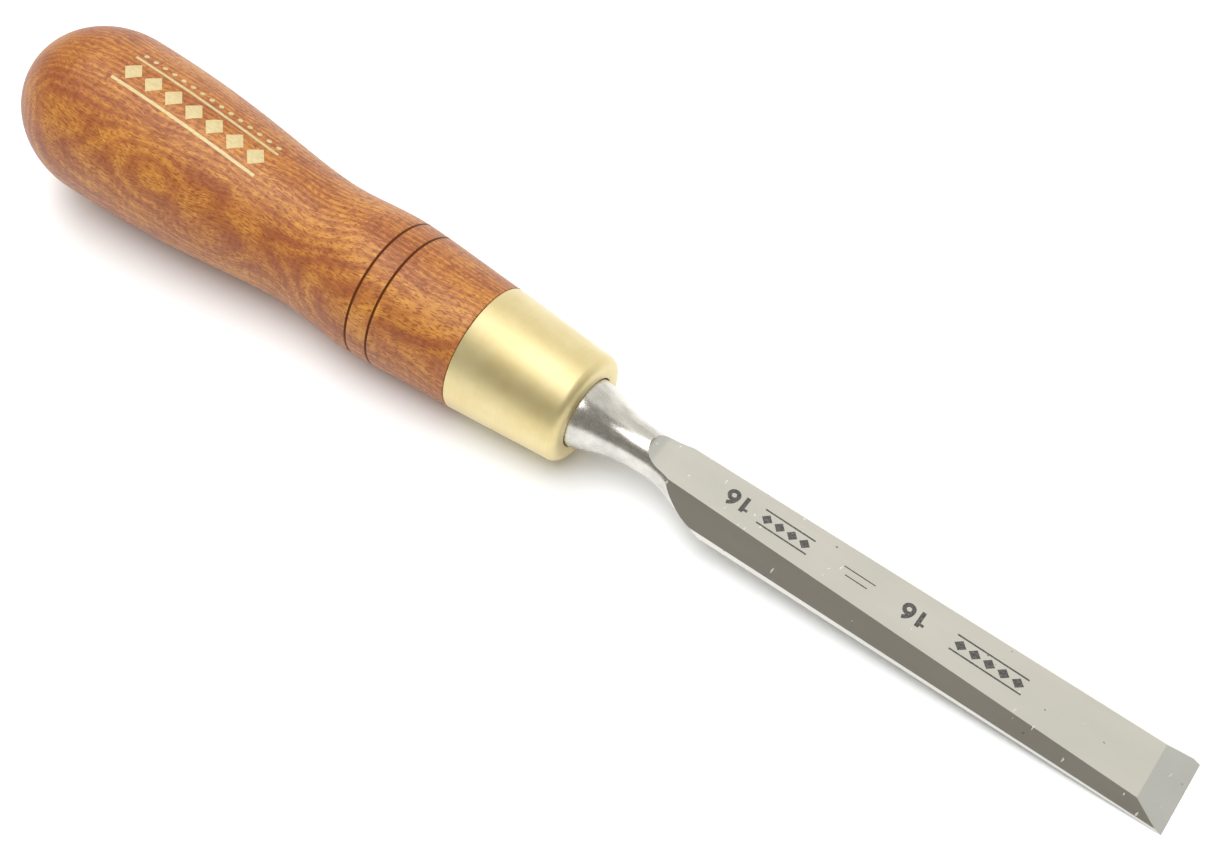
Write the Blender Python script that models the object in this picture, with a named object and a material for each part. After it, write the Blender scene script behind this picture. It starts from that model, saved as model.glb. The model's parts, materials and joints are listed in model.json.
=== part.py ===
"""Bevel edge chisel: a forged and ground steel blade, a drawn brass ferrule and a turned wooden handle.

The tool is laid out along X. The cutting edge is at x = 0 and the handle lies towards -X.
The flat back of the blade is the plane z = 0 and the top face looks towards +Z.
An empty then tips the whole tool, so that it rests on z = 0 as it would lie on a bench.
"""
import math

import bmesh
import bpy
from mathutils import Vector

MM = 0.001
CLEARANCE = 0.3 * MM            # gap kept between pieces that touch on the real tool
MERGE_DISTANCE = 0.001 * MM
SHARP_ANGLE = math.radians(30)

# Blade
BLADE_WIDTH = 16.0 * MM
BLADE_LENGTH = 97.0 * MM        # cutting edge to the corners where the full width begins
SHOULDER_THICKNESS = 5.93 * MM  # at those corners
TIP_THICKNESS = 3.08 * MM       # at the top of the cutting bevel
CUTTING_ANGLE = math.radians(25.0)
SIDE_BEVEL_ANGLE = math.radians(50.8)
SHOULDER_LAND = 1.58 * MM       # height of the upright side below the side bevel
TIP_LAND = 0.71 * MM
RUNOUT_START = 10.4 * MM        # shoulder corners to where the grinding starts to lift out of the neck
FACE_RUNOUT_RADIUS = 6.0 * MM
BACK_RUNOUT_RADIUS = 12.0 * MM
RUNOUT_SWEEP = math.radians(80)  # arc of the grinding wheel that is left at each run-out

# Neck, bolster and tang
AXIS_HEIGHT = 3.59 * MM         # axis of neck, ferrule and handle above the flat back
NECK_RADIUS = 4.4 * MM
NECK_LENGTH = 1.4 * MM          # straight part between the flare and the bolster
FLARE_LENGTH = 13.2 * MM        # shoulder corners to the neck
FLARE_SQUARENESS = 2.6          # exponent of the section at the shoulder; 2 is an ellipse
STRIP_SQUARENESS = 8.0          # exponent of the forging's section along the blade
FORGING_ALLOWANCE = 0.6 * MM    # steel that grinding takes off the blade
TOP_SHARE = 0.6                 # share of the extra height by which the forging's middle sits higher
BOLSTER_RADIUS = 7.32 * MM      # in the ferrule's hole
BOLSTER_LENGTH = 14.4 * MM      # neck to the ferrule's face
BOLSTER_TAPER = 0.55 * MM       # loss of radius over the bolster's slow first part
TANG_LENGTH = 56.0 * MM
TANG_ROOT_WIDTH = 7.4 * MM
TANG_END_WIDTH = 4.2 * MM

# Ferrule
FERRULE_LENGTH = 24.2 * MM
FERRULE_REAR_RADIUS = 13.3 * MM
FERRULE_FRONT_RADIUS = 11.35 * MM
FERRULE_ROUNDING = 2.0 * MM
FERRULE_WALL = 1.2 * MM

# Handle, measured from the ferrule's rear edge
HANDLE_LENGTH = 116.5 * MM
FRONT_SWELL_OFFSET = 24.3 * MM
FRONT_SWELL_RADIUS = 14.76 * MM
WAIST_OFFSET = 41.0 * MM
WAIST_RADIUS = 13.74 * MM
DOME_LENGTH = 19.8 * MM         # fullest part of the handle to its end
DOME_RADIUS = 17.8 * MM
GROOVE_OFFSETS = (17.9 * MM, 22.8 * MM)
GROOVE_WIDTH = 0.7 * MM
GROOVE_DEPTH = 0.55 * MM

# How far each end of a curve runs straight on, as a share of the curve's length
FERRULE_END_REACH = 0.28
SWELL_FRONT_REACH = 0.2
SWELL_REAR_REACH = 0.35
WAIST_REACH = 0.22
DOME_REACH = 0.52
FACE_REACH = 0.27
NECK_REACH = 0.58
FLARE_REACH = 0.38
SHOULDER_LEAN = 0.41            # share of the flare's widening that is left at its last handle

TURNED_SEGMENTS = 48
FORGED_SEGMENTS = 40
ROUNDING_STEPS = 6
SWELL_STEPS = 10
WAIST_STEPS = 7
GRIP_STEPS = 14
DOME_STEPS = 12
BOLSTER_STEPS = 14
FLARE_STEPS = 12
RUNOUT_STEPS = 8

# Stations along X
X_SHOULDER = -BLADE_LENGTH
X_FLARE_END = X_SHOULDER - FLARE_LENGTH
X_NECK_END = X_FLARE_END - NECK_LENGTH
X_FERRULE_FACE = X_NECK_END - BOLSTER_LENGTH
X_BOLSTER_END = X_FERRULE_FACE - FERRULE_WALL
X_FERRULE_REAR = X_FERRULE_FACE - FERRULE_LENGTH
X_HANDLE_SHOULDER = X_FERRULE_REAR - CLEARANCE
X_HANDLE_END = X_FERRULE_REAR - HANDLE_LENGTH
X_BEVEL_TOP = -TIP_THICKNESS / math.tan(CUTTING_ANGLE)
HOLE_RADIUS = BOLSTER_RADIUS + CLEARANCE


def clear_scene():
    for item in list(bpy.data.objects):
        bpy.data.objects.remove(item, do_unlink=True)


def along_blade(x, at_tip, at_shoulder):
    """A size that changes evenly from the top of the cutting bevel to the shoulder."""
    share = (X_BEVEL_TOP - x) / (X_BEVEL_TOP - X_SHOULDER)
    return at_tip + (at_shoulder - at_tip) * share


def face_height(x):
    return along_blade(x, TIP_THICKNESS, SHOULDER_THICKNESS)


def land_height(x):
    return along_blade(x, TIP_LAND, SHOULDER_LAND)


def bezier(start, start_handle, end_handle, end, steps):
    """Points of a cubic curve, without its first one."""
    points = []
    for i in range(1, steps + 1):
        t = i / steps
        u = 1 - t
        weights = (u ** 3, 3 * u * u * t, 3 * u * t * t, t ** 3)
        corners = (start, start_handle, end_handle, end)
        points.append(tuple(sum(w * c[k] for w, c in zip(weights, corners)) for k in (0, 1)))
    return points


def level_curve(start, end, start_reach, end_reach, steps):
    """A curve that is parallel to the axis at both ends; the reaches are shares of its length."""
    length = end[0] - start[0]
    first = (start[0] + length * start_reach, start[1])
    second = (end[0] - length * end_reach, end[1])
    return bezier(start, first, second, end, steps)


def finish_object(name, mesh_data, material):
    """Turns a bmesh into an object with outward faces and a smooth surface between its sharp edges."""
    bmesh.ops.remove_doubles(mesh_data, verts=mesh_data.verts, dist=MERGE_DISTANCE)
    bmesh.ops.recalc_face_normals(mesh_data, faces=mesh_data.faces)
    mesh = bpy.data.meshes.new(name)
    mesh_data.to_mesh(mesh)
    mesh_data.free()
    mesh.shade_smooth()
    mesh.set_sharp_from_angle(angle=SHARP_ANGLE)
    if material:
        mesh.materials.append(material)
    item = bpy.data.objects.new(name, mesh)
    bpy.context.scene.collection.objects.link(item)
    return item


def turned(name, profile, material, closed=False):
    """Spins (x, radius) points about the handle's axis. A closed profile is the section of a ring."""
    shape = bmesh.new()
    verts = [shape.verts.new((x, 0.0, AXIS_HEIGHT + radius)) for x, radius in profile]
    ends = verts[1:] + (verts[:1] if closed else [])
    edges = [shape.edges.new(pair) for pair in zip(verts, ends)]
    bmesh.ops.spin(shape, geom=verts + edges, cent=(0, 0, AXIS_HEIGHT), axis=(1, 0, 0),
                   angle=math.tau, steps=TURNED_SEGMENTS, use_merge=True)
    return finish_object(name, shape, material)


def lofted(name, rings, material):
    """Joins rings of points, each ring with the same number of points, into a closed body."""
    shape = bmesh.new()
    loops = [[shape.verts.new(point) for point in ring] for ring in rings]
    for near, far in zip(loops, loops[1:]):
        for i in range(len(near)):
            j = (i + 1) % len(near)
            shape.faces.new((near[i], near[j], far[j], far[i]))
    shape.faces.new(loops[0])
    shape.faces.new(loops[-1])
    return finish_object(name, shape, material)


def boolean(target, other, operation):
    """Joins another body to the target, or takes it away. The other body becomes a hidden guide."""
    modifier = target.modifiers.new(other.name, "BOOLEAN")
    modifier.operation = operation
    modifier.solver = "EXACT"
    modifier.object = other
    other.hide_render = True
    other.display_type = "WIRE"


def surface(name, colour, roughness, metallic):
    material = bpy.data.materials.new(name)
    material.use_nodes = True
    shader = material.node_tree.nodes["Principled BSDF"]
    shader.inputs["Base Color"].default_value = (*colour, 1.0)
    shader.inputs["Roughness"].default_value = roughness
    shader.inputs["Metallic"].default_value = metallic
    return material


# Ferrule and handle

def cup_profile(depth):
    """The ferrule's outer outline moved inwards by depth, from the start of its rounding to its rear edge."""
    slope = math.atan2(FERRULE_REAR_RADIUS - FERRULE_FRONT_RADIUS, FERRULE_LENGTH)
    x_face = X_FERRULE_FACE - depth
    widest_rounding = FERRULE_FRONT_RADIUS - HOLE_RADIUS - CLEARANCE
    rounding = max(min(FERRULE_ROUNDING, widest_rounding) - depth, CLEARANCE)
    front_radius = FERRULE_FRONT_RADIUS - depth / math.cos(slope) + depth * math.tan(slope)
    # The rounding touches the face and the cone, which leans by slope.
    centre_radius = front_radius - rounding / math.cos(slope) + rounding * math.tan(slope)
    arc = []
    for i in range(ROUNDING_STEPS + 1):
        angle = (math.pi / 2 + slope) * i / ROUNDING_STEPS
        arc.append((x_face - rounding + rounding * math.cos(angle),
                    centre_radius + rounding * math.sin(angle)))
    rear_radius = FERRULE_REAR_RADIUS - depth / math.cos(slope)
    return arc + [(X_FERRULE_REAR, rear_radius)]


def build_ferrule(material):
    outer = cup_profile(0.0)
    inner = cup_profile(FERRULE_WALL)
    rim = [(X_FERRULE_FACE - FERRULE_WALL, HOLE_RADIUS), (X_FERRULE_FACE, HOLE_RADIUS)]
    return turned("ferrule", outer + inner[::-1] + rim, material, closed=True)


def handle_outline():
    """The wood that shows, from the ferrule to the domed end, without the grooves."""
    x_swell = X_FERRULE_REAR - FRONT_SWELL_OFFSET
    x_waist = X_FERRULE_REAR - WAIST_OFFSET
    x_dome = X_HANDLE_END + DOME_LENGTH
    front = (X_HANDLE_SHOULDER, FERRULE_REAR_RADIUS)
    swell = (x_swell, FRONT_SWELL_RADIUS)
    waist = (x_waist, WAIST_RADIUS)
    dome = (x_dome, DOME_RADIUS)
    front_length = FRONT_SWELL_OFFSET - CLEARANCE
    rise = (FRONT_SWELL_RADIUS - FERRULE_REAR_RADIUS) / 3
    outline = [front]
    outline += bezier(front, (front[0] - front_length * FERRULE_END_REACH, front[1] + rise),
                      (swell[0] + front_length * SWELL_FRONT_REACH, swell[1]), swell, SWELL_STEPS)
    outline += level_curve(swell, waist, SWELL_REAR_REACH, SWELL_REAR_REACH, WAIST_STEPS)
    outline += level_curve(waist, dome, WAIST_REACH, DOME_REACH, GRIP_STEPS)
    for i in range(1, DOME_STEPS + 1):
        angle = math.pi / 2 * i / DOME_STEPS
        outline.append((x_dome - DOME_LENGTH * math.sin(angle), DOME_RADIUS * math.cos(angle)))
    outline[-1] = (X_HANDLE_END, 0.0)
    return outline


def radius_at(outline, x):
    """Radius of an outline that runs towards -X, between its points."""
    for (x_near, r_near), (x_far, r_far) in zip(outline, outline[1:]):
        if x_near >= x >= x_far:
            return r_near + (r_far - r_near) * (x_near - x) / (x_near - x_far)
    raise ValueError("the outline doesn't reach this station")


def with_grooves(outline):
    """Cuts the V-shaped turned grooves into the outline."""
    grooved = list(outline)
    for offset in GROOVE_OFFSETS:
        x = X_FERRULE_REAR - offset
        half = GROOVE_WIDTH / 2
        notch = [(x + half, radius_at(outline, x + half)),
                 (x, radius_at(outline, x) - GROOVE_DEPTH),
                 (x - half, radius_at(outline, x - half))]
        kept = [point for point in grooved if abs(point[0] - x) > GROOVE_WIDTH]
        grooved = sorted(kept + notch, key=lambda point: (-point[0], -point[1]))
    return grooved


def tang_ring(x, width):
    half = width / 2
    corners = ((-half, -half), (half, -half), (half, half), (-half, half))
    return [(x, y, AXIS_HEIGHT + z) for y, z in corners]


def tang_body(name, clearance, x_start):
    """The tapered square tang, or the hole for it when there is a clearance."""
    x_end = X_BOLSTER_END - TANG_LENGTH - clearance
    root = TANG_ROOT_WIDTH + 2 * clearance
    end = TANG_END_WIDTH + 2 * clearance
    return lofted(name, [tang_ring(x_start, root), tang_ring(x_end, end)], None)


def build_handle(material):
    spigot = cup_profile(FERRULE_WALL + CLEARANCE)
    x_front = spigot[0][0]
    spigot[-1] = (X_HANDLE_SHOULDER, spigot[-1][1])
    profile = [(x_front, 0.0)] + spigot + with_grooves(handle_outline())
    handle = turned("handle", profile, material)
    hole = tang_body("tang_hole", CLEARANCE, x_front + CLEARANCE)
    boolean(handle, hole, "DIFFERENCE")
    return handle


# Blade

def section(x, half_width, half_height, centre, exponent):
    """One rounded section of the forging, between an ellipse and a box."""
    ring = []
    for i in range(FORGED_SEGMENTS):
        angle = math.tau * (i + 0.5) / FORGED_SEGMENTS
        c, s = math.cos(angle), math.sin(angle)
        reach = (abs(c) ** exponent + abs(s) ** exponent) ** (-1 / exponent)
        ring.append((x, half_width * reach * c, centre + half_height * reach * s))
    return ring


def shoulder_half_width(half_height, centre):
    """Half width of the forging whose side meets the top of the side land at the shoulder."""
    share = abs(centre - SHOULDER_LAND) / half_height
    return BLADE_WIDTH / 2 / (1 - share ** FLARE_SQUARENESS) ** (1 / FLARE_SQUARENESS)


def forging_rings():
    """Sections of the forging from the bolster's rear face to beyond the cutting edge."""
    neck = (X_NECK_END, NECK_RADIUS)
    face = (X_FERRULE_FACE, BOLSTER_RADIUS)
    bolster = bezier(face, (face[0] + BOLSTER_LENGTH * FACE_REACH, BOLSTER_RADIUS - BOLSTER_TAPER),
                     (neck[0] - BOLSTER_LENGTH * NECK_REACH, NECK_RADIUS), neck, BOLSTER_STEPS)
    rings = []
    for x, radius in [(X_BOLSTER_END, BOLSTER_RADIUS), face] + bolster:
        rings.append(section(x, radius, radius, AXIS_HEIGHT, 2.0))

    half_height = SHOULDER_THICKNESS / 2 + FORGING_ALLOWANCE
    centre = SHOULDER_THICKNESS / 2 + FORGING_ALLOWANCE * TOP_SHARE
    widest = shoulder_half_width(half_height, centre)
    start = (X_FLARE_END, NECK_RADIUS)
    end = (X_SHOULDER, widest)
    lean = (widest - NECK_RADIUS) * SHOULDER_LEAN
    flare = bezier(start, (start[0] + FLARE_LENGTH * FLARE_REACH, NECK_RADIUS),
                   (end[0] - FLARE_LENGTH * FLARE_REACH, widest - lean), end, FLARE_STEPS)
    for x, half_width in [start] + flare:
        share = (x - X_FLARE_END) / FLARE_LENGTH
        share = share * share * (3 - 2 * share)
        rings.append(section(x, half_width,
                             NECK_RADIUS + (half_height - NECK_RADIUS) * share,
                             AXIS_HEIGHT + (centre - AXIS_HEIGHT) * share,
                             2.0 + (FLARE_SQUARENESS - 2.0) * share))
    # Past the shoulder the forging is wider and squarer than the ground blade all round.
    strip_width = widest + 2 * FORGING_ALLOWANCE
    strip_height = half_height + 2 * FORGING_ALLOWANCE
    for x in (X_SHOULDER + BLADE_WIDTH / 4, BLADE_WIDTH / 4):
        rings.append(section(x, strip_width, strip_height, SHOULDER_THICKNESS / 2, STRIP_SQUARENESS))
    return rings


def extruded(name, outline):
    """A cutter with an outline of (x, z) points that runs right across the blade."""
    reach = BLADE_WIDTH
    rings = [[(x, side * reach, z) for x, z in outline] for side in (-1, 1)]
    return lofted(name, rings, None)


def runout(surface_height, radius, side):
    """Arc by which a ground surface lifts out of the neck; side is +1 for the face and -1 for the back."""
    x_tangent = X_SHOULDER - RUNOUT_START
    z_tangent = surface_height(x_tangent)
    points = []
    for i in range(RUNOUT_STEPS + 1):
        angle = RUNOUT_SWEEP * i / RUNOUT_STEPS
        points.append((x_tangent - radius * math.sin(angle),
                       z_tangent + side * radius * (1 - math.cos(angle))))
    return points[::-1]


def face_cutter():
    """Leaves the top face, its run-out on the neck and the cutting bevel."""
    top = AXIS_HEIGHT + 2 * BOLSTER_RADIUS
    arc = runout(face_height, FACE_RUNOUT_RADIUS, 1)
    below = BLADE_WIDTH / 2
    outline = [(arc[0][0], top)] + arc + [(X_BEVEL_TOP, TIP_THICKNESS)]
    outline += [(below / math.tan(CUTTING_ANGLE), -below), (BLADE_WIDTH * 2, -below), (BLADE_WIDTH * 2, top)]
    return extruded("face_cutter", outline)


def back_cutter():
    """Leaves the flat back and its run-out on the neck."""
    bottom = -2 * BOLSTER_RADIUS
    arc = runout(lambda x: 0.0, BACK_RUNOUT_RADIUS, -1)
    outline = [(arc[0][0], bottom)] + arc + [(BLADE_WIDTH * 2, 0.0), (BLADE_WIDTH * 2, bottom)]
    return extruded("back_cutter", outline)


def side_cutter(side):
    """Leaves one upright side land and the bevel above it."""
    rise = BLADE_WIDTH
    run = rise / math.tan(SIDE_BEVEL_ANGLE)
    rings = []
    for x in (X_NECK_END, BLADE_WIDTH):
        edge = BLADE_WIDTH / 2
        land = land_height(x)
        outer = BLADE_WIDTH * 1.5
        bevel_top = (edge - run, land + rise)
        outline = ((edge, -rise), (edge, land), bevel_top, (outer, land + rise), (outer, -rise))
        rings.append([(x, side * y, z) for y, z in outline])
    return lofted("side_cutter_" + ("far" if side > 0 else "near"), rings, None)


def build_blade(material):
    blade = lofted("blade", forging_rings(), material)
    boolean(blade, tang_body("tang", 0.0, X_BOLSTER_END + FERRULE_WALL / 2), "UNION")
    for cutter in (face_cutter(), back_cutter(), side_cutter(1), side_cutter(-1)):
        boolean(blade, cutter, "DIFFERENCE")
    return blade


# Resting place

def rest_placement():
    """Tilt about Y and the shift that put the cutting edge and the handle's lowest line on z = 0."""
    turned_points = cup_profile(0.0) + handle_outline()
    tilt = max(math.atan2(radius - AXIS_HEIGHT, -x) for x, radius in turned_points)
    left = min(x * math.cos(tilt) + (AXIS_HEIGHT - radius) * math.sin(tilt) for x, radius in turned_points)
    return tilt, Vector((-left / 2, 0.0, 0.0))


def main():
    clear_scene()
    wood = surface("stained_hardwood", (0.42, 0.16, 0.055), 0.35, 0.0)
    brass = surface("satin_brass", (0.72, 0.58, 0.25), 0.3, 1.0)
    steel = surface("ground_steel", (0.62, 0.61, 0.57), 0.3, 1.0)
    build_handle(wood)
    build_ferrule(brass)
    build_blade(steel)
    rest = bpy.data.objects.new("chisel_at_rest", None)
    bpy.context.scene.collection.objects.link(rest)
    tilt, shift = rest_placement()
    rest.rotation_euler = (0.0, tilt, 0.0)
    rest.location = shift
    for item in list(bpy.data.objects):
        if item is not rest:
            item.parent = rest


main()
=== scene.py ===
"""A cabinetmaker's bevel edge chisel: ground steel blade, brass ferrule and turned hardwood handle.

Sizes are in millimetres along the tool, with the cutting edge at x = 0, the handle towards -X
and the flat back of the blade at z = 0. Each finished piece is then laid down as the frame has it.
"""
import json
import math

import bmesh
import bpy
from mathutils import Matrix, Vector

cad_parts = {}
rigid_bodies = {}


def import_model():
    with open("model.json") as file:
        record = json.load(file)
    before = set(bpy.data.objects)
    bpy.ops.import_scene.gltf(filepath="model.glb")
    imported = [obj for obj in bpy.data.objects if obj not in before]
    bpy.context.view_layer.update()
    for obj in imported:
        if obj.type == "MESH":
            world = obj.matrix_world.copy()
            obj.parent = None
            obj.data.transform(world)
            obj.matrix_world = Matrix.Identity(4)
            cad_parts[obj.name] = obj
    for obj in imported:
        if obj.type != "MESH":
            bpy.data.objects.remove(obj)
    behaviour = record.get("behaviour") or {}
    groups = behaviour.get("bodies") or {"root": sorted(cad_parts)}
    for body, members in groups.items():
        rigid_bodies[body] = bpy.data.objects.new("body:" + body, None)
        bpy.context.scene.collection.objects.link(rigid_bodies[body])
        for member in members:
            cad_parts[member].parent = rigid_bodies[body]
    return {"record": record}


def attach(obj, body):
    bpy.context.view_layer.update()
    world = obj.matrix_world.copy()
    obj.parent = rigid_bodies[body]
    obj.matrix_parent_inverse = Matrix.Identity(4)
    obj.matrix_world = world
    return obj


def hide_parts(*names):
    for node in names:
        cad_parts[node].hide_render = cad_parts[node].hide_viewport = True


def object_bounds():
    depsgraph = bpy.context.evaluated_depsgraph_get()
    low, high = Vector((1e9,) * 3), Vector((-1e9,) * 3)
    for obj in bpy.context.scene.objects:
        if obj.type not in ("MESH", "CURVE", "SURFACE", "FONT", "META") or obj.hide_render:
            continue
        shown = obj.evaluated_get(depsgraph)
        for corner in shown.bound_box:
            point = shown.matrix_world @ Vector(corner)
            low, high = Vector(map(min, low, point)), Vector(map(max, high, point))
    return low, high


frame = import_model()
cad_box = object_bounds()

# Where the tool lies
# It rests on its cutting edge and on the front swell of the handle, just behind the ferrule, so its
# flat back leans a little. The lean comes from the frame's mount on that back, and the cutting edge
# is the frame's far end.

MM = 0.001
back_mount = next(m for m in frame["record"]["mounts"] if m["name"] == "blade_back")
LEAN = math.atan2(-back_mount["axis"][0], -back_mount["axis"][2])
EDGE_X = cad_box[1].x
LAID_DOWN = Matrix.Translation((EDGE_X, 0, 0)) @ Matrix.Rotation(LEAN, 4, "Y")

# Camera
# It stands at the near side of the cutting edge and looks down over the blade to the handle.

camera_data = bpy.data.cameras.new("studio_camera")
camera = bpy.data.objects.new("studio_camera", camera_data)
bpy.context.scene.collection.objects.link(camera)
camera_data.sensor_width = 36.0
camera_data.lens = 52.838
camera_data.clip_start = 0.01
camera.location = (0.12278, -0.16540, 0.28198)
camera.rotation_euler = [math.radians(angle) for angle in (36.061, -1.117, 35.3128)]
bpy.context.scene.camera = camera

# Studio floor and lights
# White paper under a soft overhead light, with panels and a wall behind the tool. The fill light is
# hidden from reflections, so it lightens the shadows without a highlight of its own. The near side
# of the room is left dim, which gives the steel and brass their darker bands.

bpy.ops.object.select_all(action="DESELECT")
bpy.ops.mesh.primitive_plane_add(size=6.0, location=(0, 0, 0))
floor = bpy.context.object
floor.name = "paper_floor"
paper = bpy.data.materials.new("white_background_paper")
paper.use_nodes = True
paper_shader = paper.node_tree.nodes["Principled BSDF"]
paper_shader.inputs["Base Color"].default_value = (0.92, 0.92, 0.92, 1)
paper_shader.inputs["Roughness"].default_value = 0.9
paper_shader.inputs["Specular IOR Level"].default_value = 0.1
floor.data.materials.append(paper)

world = bpy.data.worlds.new("studio_room")
world.use_nodes = True
room = world.node_tree.nodes["Background"]
room.inputs["Color"].default_value = (1.0, 0.94, 0.84, 1)
room.inputs["Strength"].default_value = 0.29
bpy.context.scene.world = world
bpy.context.scene.view_settings.view_transform = "Standard"

# name, place, the point it faces, turn about the vertical, width, depth, watts, colour, reflected
SOFTBOXES = (
    ("overhead_softbox", (-0.24, -0.10, 0.95), (-0.24, -0.10, 0.0),
     36.6, 0.46, 1.00, 4.9, (1.0, 0.99, 0.98), True),
    ("overhead_fill", (-0.20, -0.45, 1.50), (-0.10, 0.0, 0.0),
     0.0, 1.50, 1.50, 18.5, (0.93, 0.965, 1.0), False),
    ("back_panel", (-0.45, 0.95, 1.46), (-0.45, 0.0, 0.0),
     0.0, 2.50, 1.85, 8.7, (1.0, 0.99, 0.95), True),
    ("right_panel", (1.70, 0.95, 1.46), (1.70, 0.0, 0.0),
     0.0, 1.80, 1.85, 5.0, (0.92, 0.97, 1.0), True),
    ("back_wall", (0.0, 2.00, 0.55), (0.0, 0.0, 0.55),
     0.0, 5.00, 1.10, 14.0, (1.0, 0.99, 0.96), True),
)
for name, place, target, turn, width, depth, watts, tint, reflected in SOFTBOXES:
    light = bpy.data.lights.new(name, "AREA")
    light.shape = "RECTANGLE"
    light.size = width
    light.size_y = depth
    light.energy = watts
    light.color = tint
    softbox = bpy.data.objects.new(name, light)
    aim = (Vector(target) - Vector(place)).to_track_quat("-Z", "Y").to_matrix().to_4x4()
    softbox.matrix_world = Matrix.Translation(place) @ Matrix.Rotation(math.radians(turn), 4, "Z") @ aim
    softbox.visible_camera = False
    softbox.visible_glossy = reflected
    bpy.context.scene.collection.objects.link(softbox)


# Blade
# One tool steel forging. Its back, face, sides and edge are ground flat, and the round neck and
# the bolster, which closes the ferrule's hole, are left as forged and brushed. The square tang is
# driven into the handle.

AXIS_HEIGHT = 3.59
BLADE_WIDTH = 16.0
BLADE_LENGTH = 97.0
TIP_THICKNESS = 3.08
SHOULDER_THICKNESS = 5.93
TIP_LAND = 0.71
SHOULDER_LAND = 1.58
CUTTING_ANGLE = math.radians(25.0)
SIDE_BEVEL_ANGLE = math.radians(50.8)
FACE_WHEEL_RADIUS = 6.0
BACK_WHEEL_RADIUS = 12.0
X_RUNOUT = -107.4
X_NECK = -111.6
X_FERRULE_FACE = -126.0
FERRULE_WALL = 1.2
BOLSTER_RADIUS = 7.32
NECK_RADIUS = 4.4
BEVEL_TOP = -TIP_THICKNESS / math.tan(CUTTING_ANGLE)
WELD_DISTANCE = 0.002 * MM


def along_blade(x, at_tip, at_shoulder):
    """A size that grows evenly from the top of the cutting bevel to the shoulder."""
    share = (BEVEL_TOP - x) / (BEVEL_TOP + BLADE_LENGTH)
    return at_tip + (at_shoulder - at_tip) * share


def only(piece):
    """Selects one piece and makes it the one that operators act on."""
    bpy.ops.object.select_all(action="DESELECT")
    piece.select_set(True)
    bpy.context.view_layer.objects.active = piece


def squared_up(piece, station):
    """Pushes the corners of the newest section outwards; a squareness of 2 is an ellipse."""
    x, half_width, half_height, middle, squareness = station
    shape = bmesh.from_edit_mesh(piece.data)
    for vert in (v for v in shape.verts if v.select):
        across = vert.co.y / MM / half_width
        up = (vert.co.z / MM - middle) / half_height
        reach = (abs(across) ** squareness + abs(up) ** squareness) ** (-1 / squareness)
        vert.co = (x * MM, across * reach * half_width * MM, (middle + up * reach * half_height) * MM)
    bmesh.update_edit_mesh(piece.data)


def drawn_out(name, stations, segments):
    """Draws a disc out along X. A station is x, half width, half height, middle's height, squareness."""
    x, half_width, half_height, middle, _ = stations[0]
    bpy.ops.object.select_all(action="DESELECT")
    bpy.ops.mesh.primitive_circle_add(vertices=segments, radius=MM, fill_type="NGON",
                                      location=(x * MM, 0, middle * MM), rotation=(0, math.pi / 2, 0))
    piece = bpy.context.object
    piece.name = name
    bpy.ops.object.transform_apply(location=True, rotation=True, scale=True)
    bpy.ops.object.mode_set(mode="EDIT")
    bpy.ops.mesh.select_all(action="SELECT")
    bpy.ops.transform.resize(value=(1, half_width, half_height), center_override=(x * MM, 0, middle * MM))
    # The first disc stays behind as the closed end of the piece.
    bpy.ops.mesh.duplicate()
    bpy.ops.mesh.flip_normals()
    bpy.ops.mesh.select_all(action="INVERT")
    for last, station in zip(stations, stations[1:]):
        x, half_width, half_height, middle, squareness = station
        step = ((x - last[0]) * MM, 0, (middle - last[3]) * MM)
        bpy.ops.mesh.extrude_region_move(TRANSFORM_OT_translate={"value": step})
        growth = (1, half_width / last[1], half_height / last[2])
        bpy.ops.transform.resize(value=growth, center_override=(x * MM, 0, middle * MM))
        if squareness > 2:
            squared_up(piece, station)
    bpy.ops.mesh.select_all(action="SELECT")
    bpy.ops.mesh.remove_doubles(threshold=WELD_DISTANCE)
    bpy.ops.mesh.normals_make_consistent(inside=False)
    bpy.ops.object.mode_set(mode="OBJECT")
    return piece


def eased(share):
    """A share from 0 to 1 that starts and ends gently."""
    return share * share * (3 - 2 * share)


def curve_points(start, start_handle, end_handle, end, steps):
    """Points of a cubic curve through two ends, without its first point."""
    points = []
    for i in range(1, steps + 1):
        t = i / steps
        weights = ((1 - t) ** 3, 3 * (1 - t) ** 2 * t, 3 * (1 - t) * t ** 2, t ** 3)
        corners = (start, start_handle, end_handle, end)
        points.append(tuple(sum(w * c[k] for w, c in zip(weights, corners)) for k in (0, 1)))
    return points


bolster_length = X_NECK - X_FERRULE_FACE
bolster_curve = curve_points((X_FERRULE_FACE, BOLSTER_RADIUS),
                             (X_FERRULE_FACE + 0.27 * bolster_length, BOLSTER_RADIUS - 0.55),
                             (X_NECK - 0.58 * bolster_length, NECK_RADIUS), (X_NECK, NECK_RADIUS), 28)
ROUND = 2.0
forging = [(X_FERRULE_FACE - FERRULE_WALL, BOLSTER_RADIUS), (X_FERRULE_FACE, BOLSTER_RADIUS)] + bolster_curve
forging = [(x, radius, radius, AXIS_HEIGHT, ROUND) for x, radius in forging]
SHOULDER_HALF_WIDTH = 8.54
SHOULDER_HALF_HEIGHT = 3.565
SHOULDER_MIDDLE = 3.325
SHOULDER_SQUARENESS = 2.6
NECK_LENGTH = 1.4
x_flare = X_NECK + NECK_LENGTH
flare_length = -BLADE_LENGTH - x_flare
widening = SHOULDER_HALF_WIDTH - NECK_RADIUS
flare_curve = curve_points((x_flare, NECK_RADIUS), (x_flare + 0.38 * flare_length, NECK_RADIUS),
                           (-BLADE_LENGTH - 0.38 * flare_length, SHOULDER_HALF_WIDTH - 0.41 * widening),
                           (-BLADE_LENGTH, SHOULDER_HALF_WIDTH), 24)
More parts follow.
